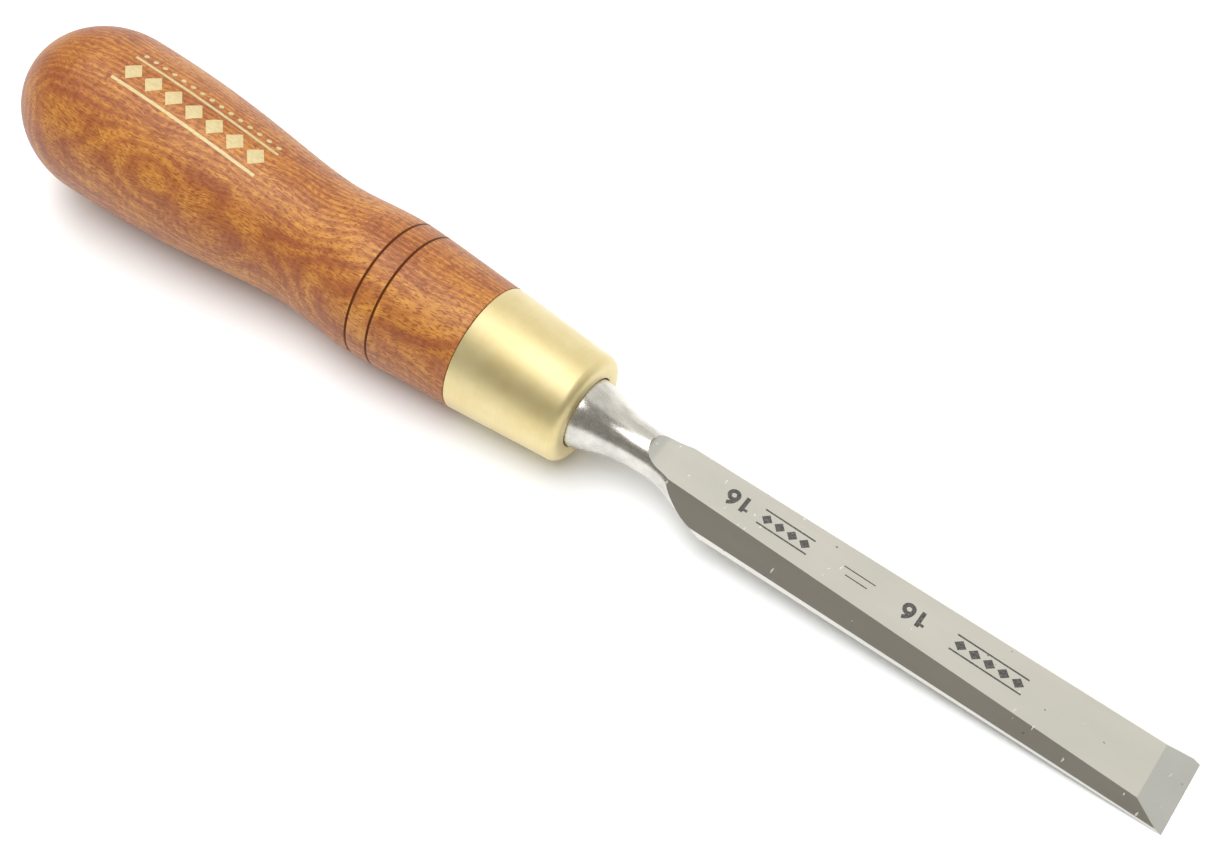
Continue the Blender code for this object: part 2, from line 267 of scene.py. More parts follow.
for x, half_width in [(x_flare, NECK_RADIUS)] + flare_curve:
    share = eased((x - x_flare) / flare_length)
    forging.append((x, half_width, NECK_RADIUS + (SHOULDER_HALF_HEIGHT - NECK_RADIUS) * share,
                    AXIS_HEIGHT + (SHOULDER_MIDDLE - AXIS_HEIGHT) * share,
                    ROUND + (SHOULDER_SQUARENESS - ROUND) * share))
# Past the shoulder the forging is wider and squarer than the ground blade all round.
STOCK_SQUARENESS = 8.0
for x, half_width, half_height in ((-BLADE_LENGTH + 4.0, 9.8, 4.8), (-BLADE_LENGTH + 9.0, 10.0, 5.0),
                                   (4.0, 10.0, 5.0)):
    forging.append((x, half_width, half_height, SHOULDER_MIDDLE, STOCK_SQUARENESS))
blade = drawn_out("blade", forging, 96)


def combined(piece, other, operation):
    """Takes another closed body away from a piece or joins it on, before either has a finish."""
    only(piece)
    modifier = piece.modifiers.new(other.name, "BOOLEAN")
    modifier.operation = operation
    modifier.solver = "MANIFOLD"
    modifier.object = other
    bpy.ops.object.modifier_apply(modifier=modifier.name)
    bpy.data.objects.remove(other, do_unlink=True)
    piece.data.materials.clear()


def grinding_block(name, point, outward, reaches_back_to):
    """A block that lies flat on a plane, for the stock that is ground away beyond it."""
    length, width, thickness = 200.0, 80.0, 30.0
    up = Vector(outward).normalized()
    forward = (Vector((1, 0, 0)) - up * up.x).normalized()
    corner = Vector(point) + forward * ((reaches_back_to - point[0]) / forward.x)
    bpy.ops.object.select_all(action="DESELECT")
    bpy.ops.mesh.primitive_cube_add(size=1, location=(length / 2 * MM, 0, thickness / 2 * MM),
                                    scale=(length * MM, width * MM, thickness * MM))
    block = bpy.context.object
    block.name = name
    bpy.ops.object.transform_apply(location=True, rotation=True, scale=True)
    turn = Matrix((forward, up.cross(forward), up)).transposed().to_4x4()
    block.matrix_world = Matrix.Translation(corner * MM) @ turn
    bpy.ops.object.transform_apply(location=True, rotation=True, scale=True)
    return block


land_slope = (TIP_LAND - SHOULDER_LAND) / (BLADE_LENGTH + BEVEL_TOP)
face_lean = math.atan2(SHOULDER_THICKNESS - TIP_THICKNESS, BLADE_LENGTH + BEVEL_TOP)
edge_cut = ((0, 0, 0), Vector((math.sin(CUTTING_ANGLE), 0, math.cos(CUTTING_ANGLE))))
combined(blade, grinding_block("edge_cut", *edge_cut, -BLADE_LENGTH / 2), "DIFFERENCE")
flats = [edge_cut, ((0, 0, 0), Vector((0, 0, -1))),
         ((BEVEL_TOP, 0, TIP_THICKNESS), Vector((math.sin(face_lean), 0, math.cos(face_lean))))]
for side in (-1, 1):
    bevel_normal = Vector((-land_slope, side * math.tan(SIDE_BEVEL_ANGLE), 1)).normalized()
    side_bevel = ((BEVEL_TOP, side * BLADE_WIDTH / 2, TIP_LAND), bevel_normal)
    side_land = ((BEVEL_TOP, side * BLADE_WIDTH / 2, 0), Vector((0, side, 0)))
    combined(blade, grinding_block("side_bevel", *side_bevel, X_NECK), "DIFFERENCE")
    combined(blade, grinding_block("side_land", *side_land, X_NECK), "DIFFERENCE")
    flats += [side_bevel, side_land]


def grinding_wheel(name, x_tangent, surface_height, lean, wheel_radius, side):
    """A block with one rounded edge, for the wheel's path along the face (side 1) or the back (side -1)."""
    length, width, thickness = 150.0, 40.0, 30.0
    near = 0.1 * MM
    bpy.ops.object.select_all(action="DESELECT")
    centre = (x_tangent - wheel_radius + length / 2, 0, side * thickness / 2)
    bpy.ops.mesh.primitive_cube_add(size=1, location=[value * MM for value in centre],
                                    scale=(length * MM, width * MM, thickness * MM))
    block = bpy.context.object
    block.name = name
    bpy.ops.object.transform_apply(location=True, rotation=True, scale=True)
    bpy.ops.object.mode_set(mode="EDIT")
    bpy.ops.mesh.select_all(action="DESELECT")
    shape = bmesh.from_edit_mesh(block.data)
    for edge in shape.edges:
        middle = (edge.verts[0].co + edge.verts[1].co) / 2
        if abs(middle.x - (x_tangent - wheel_radius) * MM) < near and abs(middle.z) < near:
            edge.select_set(True)
    bmesh.update_edit_mesh(block.data)
    bpy.ops.mesh.bevel(offset=wheel_radius * MM, segments=24, affect="EDGES")
    bpy.ops.object.mode_set(mode="OBJECT")
    block.matrix_world = (Matrix.Translation((x_tangent * MM, 0, surface_height * MM))
                          @ Matrix.Rotation(lean, 4, "Y") @ Matrix.Translation((-x_tangent * MM, 0, 0)))
    bpy.ops.object.transform_apply(location=True, rotation=True, scale=True)
    return block


face_height = along_blade(X_RUNOUT, TIP_THICKNESS, SHOULDER_THICKNESS)
combined(blade, grinding_wheel("face_wheel", X_RUNOUT, face_height, face_lean, FACE_WHEEL_RADIUS, 1),
         "DIFFERENCE")
combined(blade, grinding_wheel("back_wheel", X_RUNOUT, 0.0, 0.0, BACK_WHEEL_RADIUS, -1), "DIFFERENCE")


def square_taper(name, x_root, root_width, x_end, end_width):
    """A tapered square bar along the handle's axis, with its sides level and upright."""
    bpy.ops.object.select_all(action="DESELECT")
    bpy.ops.mesh.primitive_cone_add(vertices=4, radius1=end_width / math.sqrt(2) * MM,
                                    radius2=root_width / math.sqrt(2) * MM, depth=(x_root - x_end) * MM,
                                    location=((x_root + x_end) / 2 * MM, 0, AXIS_HEIGHT * MM))
    bar = bpy.context.object
    bar.name = name
    turn = Matrix.Rotation(math.pi / 4, 4, "X") @ Matrix.Rotation(math.pi / 2, 4, "Y")
    bar.rotation_euler = turn.to_euler()
    bpy.ops.object.transform_apply(location=True, rotation=True, scale=True)
    return bar


TANG_LENGTH = 56.0
TANG_ROOT_WIDTH = 7.4
TANG_END_WIDTH = 4.2
X_TANG_END = X_FERRULE_FACE - FERRULE_WALL - TANG_LENGTH
tang = square_taper("tang", X_FERRULE_FACE - FERRULE_WALL / 2, TANG_ROOT_WIDTH, X_TANG_END, TANG_END_WIDTH)
combined(blade, tang, "UNION")


def laid_down(piece):
    """Turns a finished piece from the tool's own axes to where it lies, with its place in its mesh."""
    only(piece)
    piece.matrix_world = LAID_DOWN
    bpy.ops.object.transform_apply(location=True, rotation=True, scale=True)
    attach(piece, "root")


def shade(piece, angle):
    """Shades a piece smooth, with sharp edges where faces meet at more than an angle in degrees."""
    only(piece)
    bpy.ops.object.shade_smooth_by_angle(angle=math.radians(angle))


def colour(code):
    """The linear colour of an sRGB hex code, with full cover."""
    channels = [int(code[i:i + 2], 16) / 255 for i in (0, 2, 4)]
    return (*[c / 12.92 if c <= 0.04045 else ((c + 0.055) / 1.055) ** 2.4 for c in channels], 1.0)


def add_node(tree, kind, settings=None, links=None):
    """Adds a shader node. Settings go to its properties or sockets, and links join sockets to outputs."""
    node = tree.nodes.new(kind)
    for key, value in (settings or {}).items():
        if key == "stops":
            ramp = node.color_ramp
            ramp.elements[0].position, ramp.elements[0].color = value[0]
            ramp.elements[1].position, ramp.elements[1].color = value[-1]
            for place, shown in value[1:-1]:
                ramp.elements.new(place).color = shown
        elif isinstance(key, str) and hasattr(node, key):
            setattr(node, key, value)
        else:
            node.inputs[key].default_value = value
    for key, source in (links or {}).items():
        tree.links.new(source, node.inputs[key])
    return node


def tool_space(tree, scale=(1, 1, 1), turn=(0, 0, 0), centre=(0, 0, 0)):
    """Coordinates in millimetres along the tool, then moved to a centre, turned and scaled."""
    place = add_node(tree, "ShaderNodeTexCoord").outputs["Object"]
    start = Matrix.Rotation(-LEAN, 3, "Y") @ Vector((EDGE_X / MM, 0, 0)) + Vector(centre)
    laid = add_node(tree, "ShaderNodeMapping", {"Scale": (1 / MM,) * 3, "Rotation": (0, -LEAN, 0),
                                                "Location": -start}, {"Vector": place})
    turned = add_node(tree, "ShaderNodeMapping", {"Rotation": turn}, {"Vector": laid.outputs[0]})
    return add_node(tree, "ShaderNodeMapping", {"Scale": scale}, {"Vector": turned.outputs[0]}).outputs[0]


def new_finish(name, settings):
    """A material with its shader's constants set, as its node tree and its shader."""
    material = bpy.data.materials.new(name)
    material.use_nodes = True
    shader = material.node_tree.nodes["Principled BSDF"]
    for key, value in settings.items():
        shader.inputs[key].default_value = value
    return material, material.node_tree, shader


# Surface ground tool steel: a warm light grey, nearly smooth. Grinding leaves lines along the blade
# about 0.1 mm apart, drawn 0.25 mm apart here so that they show, and handling leaves tiny dark
# specks and a few short dull nicks. The nicks are rougher, and their colour is painted near white as a
# highlight where they catch the light.
ground, tree, shader = new_finish("surface_ground_tool_steel", {"Metallic": 1.0})
lines = add_node(tree, "ShaderNodeTexNoise", {"Scale": 1.0, "Detail": 3.0, "Roughness": 0.6},
                 {"Vector": tool_space(tree, (0.03, 4.0, 4.0))})
cloud = add_node(tree, "ShaderNodeTexNoise", {"Scale": 1.0, "Detail": 2.0},
                 {"Vector": tool_space(tree, (0.05, 0.12, 0.12))})
tone = add_node(tree, "ShaderNodeMath", {"operation": "MULTIPLY_ADD", 1: 0.35},
                {0: lines.outputs["Fac"], 2: cloud.outputs["Fac"]})
steel_colour = add_node(tree, "ShaderNodeValToRGB",
                        {"stops": ((0.45, colour("D5D4CD")), (0.9, colour("DDDBD4")))},
                        {"Fac": tone.outputs[0]})
specks = add_node(tree, "ShaderNodeTexNoise", {"Scale": 1.0, "Detail": 2.0, "Roughness": 0.4},
                  {"Vector": tool_space(tree, (0.8, 1.1, 1.1))})
speck_mask = add_node(tree, "ShaderNodeMapRange", {"From Min": 0.77, "From Max": 0.80},
                      {"Value": specks.outputs["Fac"]})
spotted = add_node(tree, "ShaderNodeMix", {"data_type": "RGBA", 7: colour("6E5B4A")},
                   {0: speck_mask.outputs[0], 6: steel_colour.outputs[0]})
nicks = add_node(tree, "ShaderNodeTexNoise", {"Scale": 1.0, "Detail": 0.0},
                 {"Vector": tool_space(tree, (1.5, 0.55, 0.55), (0.5, 0, 0.35))})
nick_and_painted_glint_mask = add_node(tree, "ShaderNodeMapRange", {"From Min": 0.82, "From Max": 0.845},
                     {"Value": nicks.outputs["Fac"]})
# Painted highlight: the nicks' colour is near white so that they show bright where they catch the light.
nicks_painted_bright = add_node(tree, "ShaderNodeMix", {"data_type": "RGBA", 7: colour("F4F2EC")},
                  {0: nick_and_painted_glint_mask.outputs[0], 6: spotted.outputs[2]})
tree.links.new(nicks_painted_bright.outputs[2], shader.inputs["Base Color"])
gloss = add_node(tree, "ShaderNodeMapRange",
                 {"From Min": 0.3, "From Max": 0.7, "To Min": 0.19, "To Max": 0.24},
                 {"Value": lines.outputs["Fac"]})
dulled = add_node(tree, "ShaderNodeMath", {"operation": "MULTIPLY_ADD", 1: 0.5},
                  {0: nick_and_painted_glint_mask.outputs[0], 2: gloss.outputs[0]})
tree.links.new(dulled.outputs[0], shader.inputs["Roughness"])
ridges = add_node(tree, "ShaderNodeBump", {"Strength": 0.06, "Distance": 0.02 * MM},
                  {"Height": lines.outputs["Fac"]})
tree.links.new(ridges.outputs[0], shader.inputs["Normal"])

# Belt brushed forged steel on the neck and bolster: the same steel, duller, with fine marks along the
# neck, about 0.2 mm apart and drawn 0.4 mm apart here, and a soft mottle from the forging.
brushed, tree, shader = new_finish("belt_brushed_forged_steel", {"Metallic": 1.0})
marks = add_node(tree, "ShaderNodeTexNoise", {"Scale": 1.0, "Detail": 4.0, "Roughness": 0.65},
                 {"Vector": tool_space(tree, (0.22, 2.4, 2.4))})
mottle = add_node(tree, "ShaderNodeTexNoise", {"Scale": 1.0, "Detail": 3.0},
                  {"Vector": tool_space(tree, (0.35, 0.35, 0.35))})
tone = add_node(tree, "ShaderNodeMath", {"operation": "MULTIPLY_ADD", 1: 0.6},
                {0: marks.outputs["Fac"], 2: mottle.outputs["Fac"]})
neck_colour = add_node(tree, "ShaderNodeValToRGB",
                       {"stops": ((0.5, colour("C2C0BA")), (0.9167, colour("DDDBD5")))},
                       {"Fac": tone.outputs[0]})
tree.links.new(neck_colour.outputs[0], shader.inputs["Base Color"])
gloss = add_node(tree, "ShaderNodeMapRange",
                 {"From Min": 0.3, "From Max": 0.7, "To Min": 0.22, "To Max": 0.3},
                 {"Value": marks.outputs["Fac"]})
tree.links.new(gloss.outputs[0], shader.inputs["Roughness"])
grain = add_node(tree, "ShaderNodeBump", {"Strength": 0.06, "Distance": 0.02 * MM},
                 {"Height": marks.outputs["Fac"]})
tree.links.new(grain.outputs[0], shader.inputs["Normal"])

blade.data.materials.append(ground)
blade.data.materials.append(brushed)
shade(blade, 30)
bpy.ops.object.mode_set(mode="EDIT")
bpy.ops.mesh.select_all(action="DESELECT")
shape = bmesh.from_edit_mesh(blade.data)
# The stone and the wheel left the flats and both run-outs bright, and all else stays brushed. A flat
# meets its neighbours at crisp edges.
RUNOUT_REACH = 7.0
RUNOUT_OFF_MIDDLE = 2.0
CLOSE = 0.02
CRISP = math.radians(0.5)
for face in shape.faces:
    centre = face.calc_center_median() / MM
    on_flat = any(face.normal.dot(normal) > 0.9999 and abs((centre - Vector(point)).dot(normal)) < CLOSE
                  for point, normal in flats)
    on_runout = (abs(face.normal.y) < CLOSE and abs(face.normal.z) > 0.5
                 and X_RUNOUT - RUNOUT_REACH < centre.x < -BLADE_LENGTH
                 and abs(centre.z - SHOULDER_MIDDLE) > RUNOUT_OFF_MIDDLE)
    face.material_index = 0 if on_flat or on_runout else 1
    if on_flat:
        for edge in face.edges:
            edge.smooth = edge.calc_face_angle(0) < CRISP
bmesh.update_edit_mesh(blade.data)
bpy.ops.object.mode_set(mode="OBJECT")
laid_down(blade)
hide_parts("blade")


# Size numbers and printed rules on the blade's face
# The nominal width, 16, twice, and three pairs of thin rules, two of them with a row of lozenges
# between. It is black electro-etched print, drawn 0.02 mm thick, and reads from the far side.

etch, tree, shader = new_finish("black_electro_etched_print", {"Roughness": 0.55, "Metallic": 0.0})
wear = add_node(tree, "ShaderNodeTexNoise", {"Scale": 1.0, "Detail": 3.0, "Roughness": 0.7},
                {"Vector": tool_space(tree, (3.0, 3.0, 3.0))})
etch_colour = add_node(tree, "ShaderNodeValToRGB",
                       {"stops": ((0.45, colour("3B3A38")), (0.75, colour("77746E")))},
                       {"Fac": wear.outputs["Fac"]})
tree.links.new(etch_colour.outputs[0], shader.inputs["Base Color"])

PRINT_THICKNESS = 0.02


def on_the_face(piece, x):
    """Lifts a flat print, drawn at z = 0, onto the sloping face, and gives it its thickness."""
    only(piece)
    height = along_blade(x, TIP_THICKNESS, SHOULDER_THICKNESS)
    piece.matrix_world = (Matrix.Translation((x * MM, 0, height * MM))
                          @ Matrix.Rotation(face_lean, 4, "Y") @ piece.matrix_world)
    bpy.ops.object.transform_apply(location=True, rotation=True, scale=True)
    bpy.ops.object.mode_set(mode="EDIT")
    bpy.ops.mesh.select_all(action="SELECT")
    bpy.ops.mesh.extrude_region_move(TRANSFORM_OT_translate={"value": (0, 0, PRINT_THICKNESS * MM)})
    bpy.ops.mesh.select_all(action="SELECT")
    bpy.ops.mesh.normals_make_consistent(inside=False)
    # Strokes that cross are joined, so that the print is one skin without faces inside it.
    bpy.ops.mesh.separate(type="LOOSE")
    bpy.ops.object.mode_set(mode="OBJECT")
    for stroke in [other for other in bpy.context.selected_objects if other != piece]:
        combined(piece, stroke, "UNION")
    only(piece)
    bpy.ops.object.mode_set(mode="EDIT")
    bpy.ops.mesh.select_all(action="SELECT")
    bpy.ops.mesh.dissolve_degenerate(threshold=WELD_DISTANCE)
    bpy.ops.object.mode_set(mode="OBJECT")
    piece.data.materials.append(etch)


def flat_lozenge(x, y, half_length, half_width):
    """A flat four-sided lozenge, added to the piece that is being edited."""
    bpy.ops.mesh.primitive_circle_add(vertices=4, radius=MM, fill_type="NGON", location=(x * MM, y * MM, 0))
    bpy.ops.transform.resize(value=(half_length, half_width, 1), center_override=(x * MM, y * MM, 0))


def flat_bar(x, y, length, width):
    """A flat straight bar, added to the piece that is being edited."""
    bpy.ops.mesh.primitive_plane_add(size=MM, location=(x * MM, y * MM, 0))
    bpy.ops.transform.resize(value=(length, width, 1), center_override=(x * MM, y * MM, 0))


def first_bar(name, x, y, length, width):
    """A new piece that starts as one flat straight bar, left in edit mode for the rest to be added."""
    bpy.ops.object.select_all(action="DESELECT")
    bpy.ops.mesh.primitive_plane_add(size=MM, location=(x * MM, y * MM, 0))
    piece = bpy.context.object
    piece.name = name
    bpy.ops.object.transform_apply(location=True, rotation=True, scale=True)
    bpy.ops.object.mode_set(mode="EDIT")
    bpy.ops.transform.resize(value=(length, width, 1), center_override=(x * MM, y * MM, 0))
    return piece


def flat_arc(x, y, outer, inner, start, end):
    """A flat piece of a ring between two angles in degrees, added to the piece that is being edited."""
    bpy.ops.mesh.select_all(action="DESELECT")
    bpy.ops.mesh.primitive_circle_add(vertices=72, radius=outer * MM, fill_type="NOTHING",
                                      location=(x * MM, y * MM, 0))
    bpy.ops.mesh.extrude_region_move(TRANSFORM_OT_translate={"value": (0, 0, 0)})
    bpy.ops.transform.resize(value=(inner / outer, inner / outer, 1), center_override=(x * MM, y * MM, 0))
    bpy.ops.mesh.select_linked()
    shape = bmesh.from_edit_mesh(bpy.context.object.data)
    kept = []
    for face in (f for f in shape.faces if f.select):
        middle = face.calc_center_median() / MM
        if start < math.degrees(math.atan2(middle.y - y, middle.x - x)) % 360 < end:
            kept.append(face)
    bpy.ops.mesh.select_mode(type="FACE")
    for face in kept:
        face.select_set(False)
    bmesh.update_edit_mesh(bpy.context.object.data)
    if any(face.select for face in shape.faces):
        bpy.ops.mesh.delete(type="FACE")
    bpy.ops.mesh.select_mode(type="VERT")


# Bars are middle, length and width, and arcs are middle, outer and inner radius and two angles.
UPRIGHT = (-1.4, 0.0, 0.85, 3.4)
FLAG = (-2.1, 0.95, 0.95, 0.55)
BOWL = (1.2, -0.55, 1.3, 0.48, -1, 361)
STEM = (2.5, -0.55, 2.6, 1.8, 112, 176)
for name, x_middle in (("size_number", -54.4), ("size_number_at_handle", -92.0)):
    # The upright and the flag of the 1, then the bowl and the stem of the 6.
    number = first_bar(name, *UPRIGHT)
    bpy.ops.mesh.select_all(action="DESELECT")
    flat_bar(*FLAG)
    flat_arc(*BOWL)
    flat_arc(*STEM)
    bpy.ops.object.mode_set(mode="OBJECT")
    number.rotation_euler = (0, 0, math.pi)
    only(number)
    bpy.ops.object.transform_apply(location=True, rotation=True, scale=True)
    on_the_face(number, x_middle)
    laid_down(number)


# name, middle, first length, second length, half the distance between them, their width, lozenges
RULES = (
    ("rule_near_tip", -38.9, 14.6, 14.6, 1.7, 0.32, 5),
    ("rule_near_handle", -81.6, 10.8, 10.8, 1.7, 0.32, 4),
    ("small_rule", -66.1, 6.6, 4.62, 0.75, 0.22, 0),
)
ETCHED_LOZENGE_HALF_WIDTH = 1.1
LOZENGE_FILL = 0.42  # half a lozenge's length, as a share of the room that each one has
for name, x_middle, length, second_length, y_rule, rule_width, lozenges in RULES:
    rule = first_bar(name, 0, y_rule, length, rule_width)
    flat_bar(0, -y_rule, second_length, rule_width)
    for i in range(lozenges):
        flat_lozenge((i - (lozenges - 1) / 2) * length / lozenges, 0,
                     LOZENGE_FILL * length / lozenges, ETCHED_LOZENGE_HALF_WIDTH)
    bpy.ops.object.mode_set(mode="OBJECT")
    on_the_face(rule, x_middle)
    laid_down(rule)


# Ferrule
# A cup drawn from brass sheet and pressed over the handle's spigot, which it keeps from splitting.
# It narrows towards the blade, and its front edge is rounded into a flat face round the bolster.

FERRULE_LENGTH = 24.2
FERRULE_REAR_RADIUS = 13.3
FERRULE_FRONT_RADIUS = 11.35
FERRULE_ROUNDING = 2.0
FIT_GAP = 0.22
X_FERRULE_REAR = X_FERRULE_FACE - FERRULE_LENGTH
HOLE_RADIUS = BOLSTER_RADIUS + FIT_GAP


def cup_outline(depth, steps):
    """The ferrule's outline moved inwards by depth, as x and radius from its rear edge to its face."""
    slope = math.atan2(FERRULE_REAR_RADIUS - FERRULE_FRONT_RADIUS, FERRULE_LENGTH)
    rounding = FERRULE_ROUNDING - depth
    front = FERRULE_FRONT_RADIUS - depth / math.cos(slope) + depth * math.tan(slope)
    centre = front - rounding / math.cos(slope) + rounding * math.tan(slope)
    arc = []
    for i in range(steps + 1):
        angle = (math.pi / 2 + slope) * (1 - i / steps)
        arc.append((X_FERRULE_FACE - depth - rounding + rounding * math.cos(angle),
                    centre + rounding * math.sin(angle)))
    return [(X_FERRULE_REAR, FERRULE_REAR_RADIUS - depth / math.cos(slope))] + arc


def turned_ring(name, section, segments):
    """Sweeps a closed section of x and radius round the axis, as a sheet drawn from ring to ring."""
    x, radius = section[0]
    centre = (x * MM, 0, AXIS_HEIGHT * MM)
    bpy.ops.object.select_all(action="DESELECT")
    bpy.ops.mesh.primitive_circle_add(vertices=segments, radius=radius * MM, fill_type="NOTHING",
                                      location=centre, rotation=(0, math.pi / 2, 0))
    piece = bpy.context.object
    piece.name = name
    bpy.ops.object.transform_apply(location=True, rotation=True, scale=True)
    bpy.ops.object.mode_set(mode="EDIT")
    bpy.ops.mesh.select_all(action="SELECT")
    for (x0, r0), (x1, r1) in zip(section, section[1:] + section[:1]):
        bpy.ops.mesh.extrude_region_move(TRANSFORM_OT_translate={"value": ((x1 - x0) * MM, 0, 0)})
        bpy.ops.transform.resize(value=(1, r1 / r0, r1 / r0), center_override=(x1 * MM, 0, AXIS_HEIGHT * MM))
    bpy.ops.mesh.select_all(action="SELECT")
    bpy.ops.mesh.remove_doubles(threshold=WELD_DISTANCE)
    bpy.ops.mesh.normals_make_consistent(inside=False)
    bpy.ops.object.mode_set(mode="OBJECT")
    return piece


# Both rims of the cup are broken by a small rounding.
RIM = 0.18
outer = cup_outline(0.0, 16)
inner = cup_outline(FERRULE_WALL, 8)
x_rear, rear_radius = outer[0]
rim_corner = [(x_rear + RIM, rear_radius - 0.01), (x_rear + RIM * 0.3, rear_radius - RIM * 0.3),
              (x_rear, rear_radius - RIM)]
hole_edge = [(X_FERRULE_FACE, HOLE_RADIUS + RIM), (X_FERRULE_FACE - RIM * 0.3, HOLE_RADIUS + RIM * 0.3),
             (X_FERRULE_FACE - RIM, HOLE_RADIUS), (X_FERRULE_FACE - FERRULE_WALL, HOLE_RADIUS)]
section = rim_corner[::-1] + outer[1:] + hole_edge + inner[::-1]
ferrule = turned_ring("ferrule", section, 128)

# Satin drawn brass under clear lacquer: pale yellow, polished after drawing. Polishing leaves faint
# lines round the cup, about 0.1 mm apart and drawn 0.3 mm apart here, and handling dulls it in patches.
brass, tree, shader = new_finish("satin_drawn_brass_lacquered",
                                 {"Metallic": 1.0, "Coat Weight": 0.6, "Coat Roughness": 0.28})
rounds = add_node(tree, "ShaderNodeTexNoise", {"Scale": 1.0, "Detail": 3.0, "Roughness": 0.6},
                  {"Vector": tool_space(tree, (3.2, 0.08, 0.08))})
patches = add_node(tree, "ShaderNodeTexNoise", {"Scale": 1.0, "Detail": 3.0, "Roughness": 0.55},
                   {"Vector": tool_space(tree, (0.14, 0.18, 0.18))})
tone = add_node(tree, "ShaderNodeMath", {"operation": "MULTIPLY_ADD", 1: 0.3},
                {0: rounds.outputs["Fac"], 2: patches.outputs["Fac"]})
brass_colour = add_node(tree, "ShaderNodeValToRGB",
                        {"stops": ((0.4, colour("E2D095")), (0.9, colour("EEE1B1")))},
                        {"Fac": tone.outputs[0]})
tree.links.new(brass_colour.outputs[0], shader.inputs["Base Color"])
gloss = add_node(tree, "ShaderNodeMapRange",
                 {"From Min": 0.4, "From Max": 0.9, "To Min": 0.49, "To Max": 0.56},
                 {"Value": tone.outputs[0]})
tree.links.new(gloss.outputs[0], shader.inputs["Roughness"])
polish = add_node(tree, "ShaderNodeBump", {"Strength": 0.12, "Distance": 0.02 * MM},
                  {"Height": rounds.outputs["Fac"]})
tree.links.new(polish.outputs[0], shader.inputs["Normal"])
ferrule.data.materials.append(brass)
shade(ferrule, 35)
laid_down(ferrule)
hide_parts("ferrule")


# Handle
# Turned from one piece of hardwood, with a swell and two cut grooves behind the ferrule, a waist for
# the fingers and a domed end for the palm. It is stained orange-brown and varnished.

HANDLE_LENGTH = 116.5
SPIGOT_GAP = 0.1
X_HANDLE_END = X_FERRULE_REAR - HANDLE_LENGTH
FRONT_SWELL = (X_FERRULE_REAR - 24.3, 14.76)
WAIST = (X_FERRULE_REAR - 41.0, 13.74)
DOME_LENGTH = 19.8
DOME_RADIUS = 17.8
DOME_TIP_RADIUS = 0.02
GROOVES = (X_FERRULE_REAR - 17.9, X_FERRULE_REAR - 22.8)
GROOVE_HALF_WIDTH = 0.29
GROOVE_DEPTH = 0.5
# Half of a groove's section, as shares of its half width and depth, from its raised burr to its floor.
GROOVE_SECTION = ((1.3, -0.03), (1.0, 0.0), (0.75, 0.25), (0.4, 0.8))
FRONT_EDGE = 0.12
TANG_GAP = 0.3
DRILL_START = 1.0  # the cutter of the tang's hole starts this far in front of the spigot

front = (X_FERRULE_REAR - SPIGOT_GAP, FERRULE_REAR_RADIUS - FRONT_EDGE)
dome = (X_HANDLE_END + DOME_LENGTH, DOME_RADIUS)
swell_length = front[0] - FRONT_SWELL[0]
waist_length = FRONT_SWELL[0] - WAIST[0]
grip_length = WAIST[0] - dome[0]
outline = [front, (front[0] - FRONT_EDGE, FERRULE_REAR_RADIUS)]
outline += curve_points(outline[1], (front[0] - 0.28 * swell_length, front[1] + 0.49),
                        (FRONT_SWELL[0] + 0.2 * swell_length, FRONT_SWELL[1]), FRONT_SWELL, 24)
outline += curve_points(FRONT_SWELL, (FRONT_SWELL[0] - 0.35 * waist_length, FRONT_SWELL[1]),
                        (WAIST[0] + 0.35 * waist_length, WAIST[1]), WAIST, 14)
outline += curve_points(WAIST, (WAIST[0] - 0.22 * grip_length, WAIST[1]),
                        (dome[0] + 0.52 * grip_length, dome[1]), dome, 30)
DOME_STEPS = 26
for i in range(1, DOME_STEPS):
    angle = math.pi / 2 * i / DOME_STEPS
    outline.append((dome[0] - DOME_LENGTH * math.sin(angle), DOME_RADIUS * math.cos(angle)))


def radius_at(x):
    """Radius of the handle's outline at a place between its points."""
    for (x_near, r_near), (x_far, r_far) in zip(outline, outline[1:]):
        if x_near >= x >= x_far:
            return r_near + (r_far - r_near) * (x_near - x) / (x_near - x_far)
    return DOME_RADIUS


grooved = [point for point in outline
           if min(abs(point[0] - groove) for groove in GROOVES) > 2 * GROOVE_HALF_WIDTH]
groove_section = [(-share, depth) for share, depth in GROOVE_SECTION] + [(0, 1.0), *GROOVE_SECTION]
for groove in GROOVES:
    for share, depth in groove_section:
        x = groove + share * GROOVE_HALF_WIDTH
        grooved.append((x, radius_at(x) - depth * GROOVE_DEPTH))
grooved.sort(key=lambda point: -point[0])
spigot = cup_outline(FERRULE_WALL + SPIGOT_GAP, 8)[::-1]
bar = spigot[:-1] + [(front[0], spigot[-1][1])] + grooved + [(X_HANDLE_END, DOME_TIP_RADIUS)]
handle = drawn_out("handle", [(x, radius, radius, AXIS_HEIGHT, ROUND) for x, radius in bar], 128)
tang_hole = square_taper("tang_hole", spigot[0][0] + DRILL_START, TANG_ROOT_WIDTH + TANG_GAP,
                         X_TANG_END - TANG_GAP, TANG_END_WIDTH + TANG_GAP)
combined(handle, tang_hole, "DIFFERENCE")

# Stained hardwood under satin varnish: reddish orange-brown, with growth layers about 1.2 mm apart that
# the turned shape cuts into ovals, short dark pores along the grain, and a faint ripple across it.
wood, tree, shader = new_finish("stained_hardwood_satin_varnish",
                                {"Coat Weight": 0.22, "Coat Roughness": 0.4, "Specular IOR Level": 0.4})
GRAIN_TURN = (math.radians(-62), math.radians(-5.7), 0)
HANDLE_AXIS = (0, 0, AXIS_HEIGHT)
